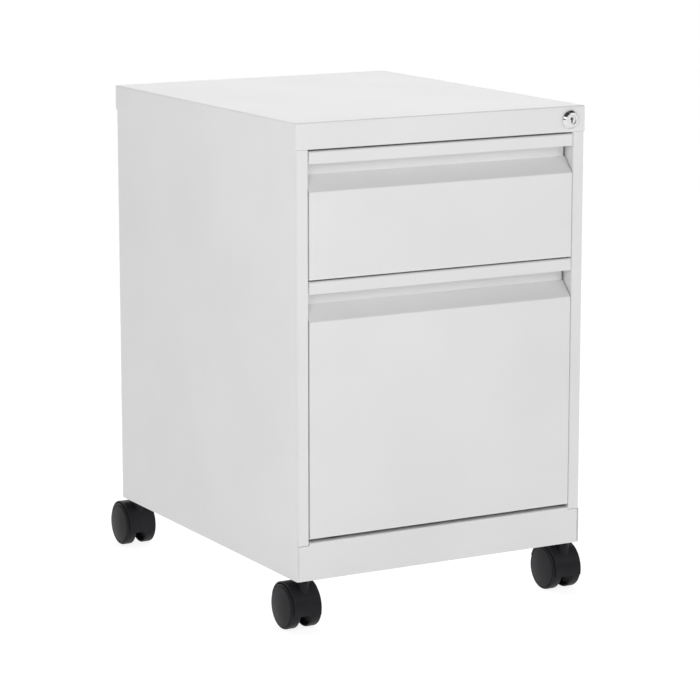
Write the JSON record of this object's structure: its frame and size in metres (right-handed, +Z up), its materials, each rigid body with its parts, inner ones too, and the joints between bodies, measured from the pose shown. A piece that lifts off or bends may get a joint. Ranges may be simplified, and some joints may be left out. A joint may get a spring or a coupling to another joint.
{
  "type": "mobile filing cabinet",
  "caption": "Low white steel filing cabinet on twin-wheel casters: a shallow box drawer over a deep file drawer, each with a full-width finger pull, under a flat lockable top.",
  "frame": {"origin": "on the floor, under the middle of the whole outline, with the casters trailing to the back", "axes": "+X to the right when facing the drawers, +Y to the back, +Z up; the drawers open towards -Y"},
  "size_m": [0.3956, 0.4981, 0.5815],
  "materials": {
    "white_paint": "white powder coat with a fine satin texture",
    "zinc_steel": "bright zinc plate",
    "chrome": "polished chrome plate",
    "dark_paint": "black dip paint",
    "black_nylon": "moulded black nylon, satin"
  },
  "bodies": {
    "case": {"top_cap": "white_paint", "left_side_panel": "white_paint", "right_side_panel": "white_paint", "back_panel": "white_paint", "bottom_pan": "white_paint", "base_rail": "white_paint", "divider_rail": "white_paint", "left_slide_posts": "white_paint", "right_slide_posts": "white_paint", "counterweight": "dark_paint", "case_rivets": "zinc_steel", "caster_gussets": "zinc_steel", "caster_nuts": "zinc_steel", "caster_stems": "zinc_steel", "upper_slide_outer_members": "zinc_steel", "lower_slide_outer_members": "zinc_steel", "lock_housing": "chrome", "lock_nut": "zinc_steel", "lock_bar_guides": "zinc_steel"},
    "upper_slide_middle": {"upper_slide_middle_members": "zinc_steel"},
    "lower_slide_middle": {"lower_slide_middle_members": "zinc_steel"},
    "upper_drawer": {"upper_drawer_front": "white_paint", "upper_inner_front": "white_paint", "upper_drawer_tray": "white_paint", "upper_drawer_back": "white_paint", "upper_lock_catch": "zinc_steel", "upper_front_screws": "zinc_steel", "upper_slide_inner_members": "zinc_steel"},
    "lower_drawer": {"lower_drawer_front": "white_paint", "lower_inner_front": "white_paint", "lower_drawer_tray": "white_paint", "lower_drawer_back": "white_paint", "lower_lock_catch": "zinc_steel", "lower_front_screws": "zinc_steel", "lower_slide_inner_members": "zinc_steel", "hanging_file_rails": "zinc_steel"},
    "lock_core": {"lock_plug": "chrome", "lock_cam": "zinc_steel", "lock_cam_screw": "zinc_steel"},
    "lock_bar_slider": {"lock_bar": "zinc_steel"},
    "front_left_swivel": {"front_left_caster_hood": "black_nylon", "front_left_caster_axle": "zinc_steel"},
    "front_left_wheel_left": {"front_left_caster_wheel_left": "black_nylon"},
    "front_left_wheel_right": {"front_left_caster_wheel_right": "black_nylon"},
    "front_right_swivel": {"front_right_caster_hood": "black_nylon", "front_right_caster_axle": "zinc_steel"},
    "front_right_wheel_left": {"front_right_caster_wheel_left": "black_nylon"},
    "front_right_wheel_right": {"front_right_caster_wheel_right": "black_nylon"},
    "rear_left_swivel": {"rear_left_caster_hood": "black_nylon", "rear_left_caster_axle": "zinc_steel"},
    "rear_left_wheel_left": {"rear_left_caster_wheel_left": "black_nylon"},
    "rear_left_wheel_right": {"rear_left_caster_wheel_right": "black_nylon"},
    "rear_right_swivel": {"rear_right_caster_hood": "black_nylon", "rear_right_caster_axle": "zinc_steel"},
    "rear_right_wheel_left": {"rear_right_caster_wheel_left": "black_nylon"},
    "rear_right_wheel_right": {"rear_right_caster_wheel_right": "black_nylon"}
  },
  "joints": [
    {"name": "upper_drawer_slide", "type": "slide", "parent": "case", "child": "upper_drawer", "axis": [0, -1, 0], "range_m": [0, 0.38]},
    {"name": "upper_middle_slide", "type": "slide", "parent": "case", "child": "upper_slide_middle", "axis": [0, -1, 0], "range_m": [0, 0.19]},
    {"name": "lower_drawer_slide", "type": "slide", "parent": "case", "child": "lower_drawer", "axis": [0, -1, 0], "range_m": [0, 0.38]},
    {"name": "lower_middle_slide", "type": "slide", "parent": "case", "child": "lower_slide_middle", "axis": [0, -1, 0], "range_m": [0, 0.19]},
    {"name": "lock_turn", "type": "hinge", "parent": "case", "child": "lock_core", "pos_m": [0.1698, -0.24385, 0.5655], "axis": [0, -1, 0], "range_deg": [0, 90]},
    {"name": "lock_bar_lift", "type": "slide", "parent": "case", "child": "lock_bar_slider", "axis": [0, 0, 1], "range_m": [0, 0.01273]},
    {"name": "front_left_swivel_turn", "type": "hinge", "parent": "case", "child": "front_left_swivel", "pos_m": [-0.176, -0.23235, 0.0605], "axis": [0, 0, 1], "continuous": true},
    {"name": "front_left_wheel_left_spin", "type": "hinge", "parent": "front_left_swivel", "child": "front_left_wheel_left", "pos_m": [-0.176, -0.21585, 0.0262], "axis": [1, 0, 0], "continuous": true},
    {"name": "front_left_wheel_right_spin", "type": "hinge", "parent": "front_left_swivel", "child": "front_left_wheel_right", "pos_m": [-0.176, -0.21585, 0.0262], "axis": [1, 0, 0], "continuous": true},
    {"name": "front_right_swivel_turn", "type": "hinge", "parent": "case", "child": "front_right_swivel", "pos_m": [0.176, -0.23235, 0.0605], "axis": [0, 0, 1], "continuous": true},
    {"name": "front_right_wheel_left_spin", "type": "hinge", "parent": "front_right_swivel", "child": "front_right_wheel_left", "pos_m": [0.176, -0.21585, 0.0262], "axis": [1, 0, 0], "continuous": true},
    {"name": "front_right_wheel_right_spin", "type": "hinge", "parent": "front_right_swivel", "child": "front_right_wheel_right", "pos_m": [0.176, -0.21585, 0.0262], "axis": [1, 0, 0], "continuous": true},
    {"name": "rear_left_swivel_turn", "type": "hinge", "parent": "case", "child": "rear_left_swivel", "pos_m": [-0.176, 0.20565, 0.0605], "axis": [0, 0, 1], "continuous": true},
    {"name": "rear_left_wheel_left_spin", "type": "hinge", "parent": "rear_left_swivel", "child": "rear_left_wheel_left", "pos_m": [-0.176, 0.22215, 0.0262], "axis": [1, 0, 0], "continuous": true},
    {"name": "rear_left_wheel_right_spin", "type": "hinge", "parent": "rear_left_swivel", "child": "rear_left_wheel_right", "pos_m": [-0.176, 0.22215, 0.0262], "axis": [1, 0, 0], "continuous": true},
    {"name": "rear_right_swivel_turn", "type": "hinge", "parent": "case", "child": "rear_right_swivel", "pos_m": [0.176, 0.20565, 0.0605], "axis": [0, 0, 1], "continuous": true},
    {"name": "rear_right_wheel_left_spin", "type": "hinge", "parent": "rear_right_swivel", "child": "rear_right_wheel_left", "pos_m": [0.176, 0.22215, 0.0262], "axis": [1, 0, 0], "continuous": true},
    {"name": "rear_right_wheel_right_spin", "type": "hinge", "parent": "rear_right_swivel", "child": "rear_right_wheel_right", "pos_m": [0.176, 0.22215, 0.0262], "axis": [1, 0, 0], "continuous": true}
  ],
  "couplings": [
    {"joint": "upper_middle_slide", "follows": "upper_drawer_slide", "ratio": 0.5},
    {"joint": "lower_middle_slide", "follows": "lower_drawer_slide", "ratio": 0.5},
    {"joint": "lock_turn", "follows": "lock_bar_lift", "rad_per_m": 123.41}
  ]
}
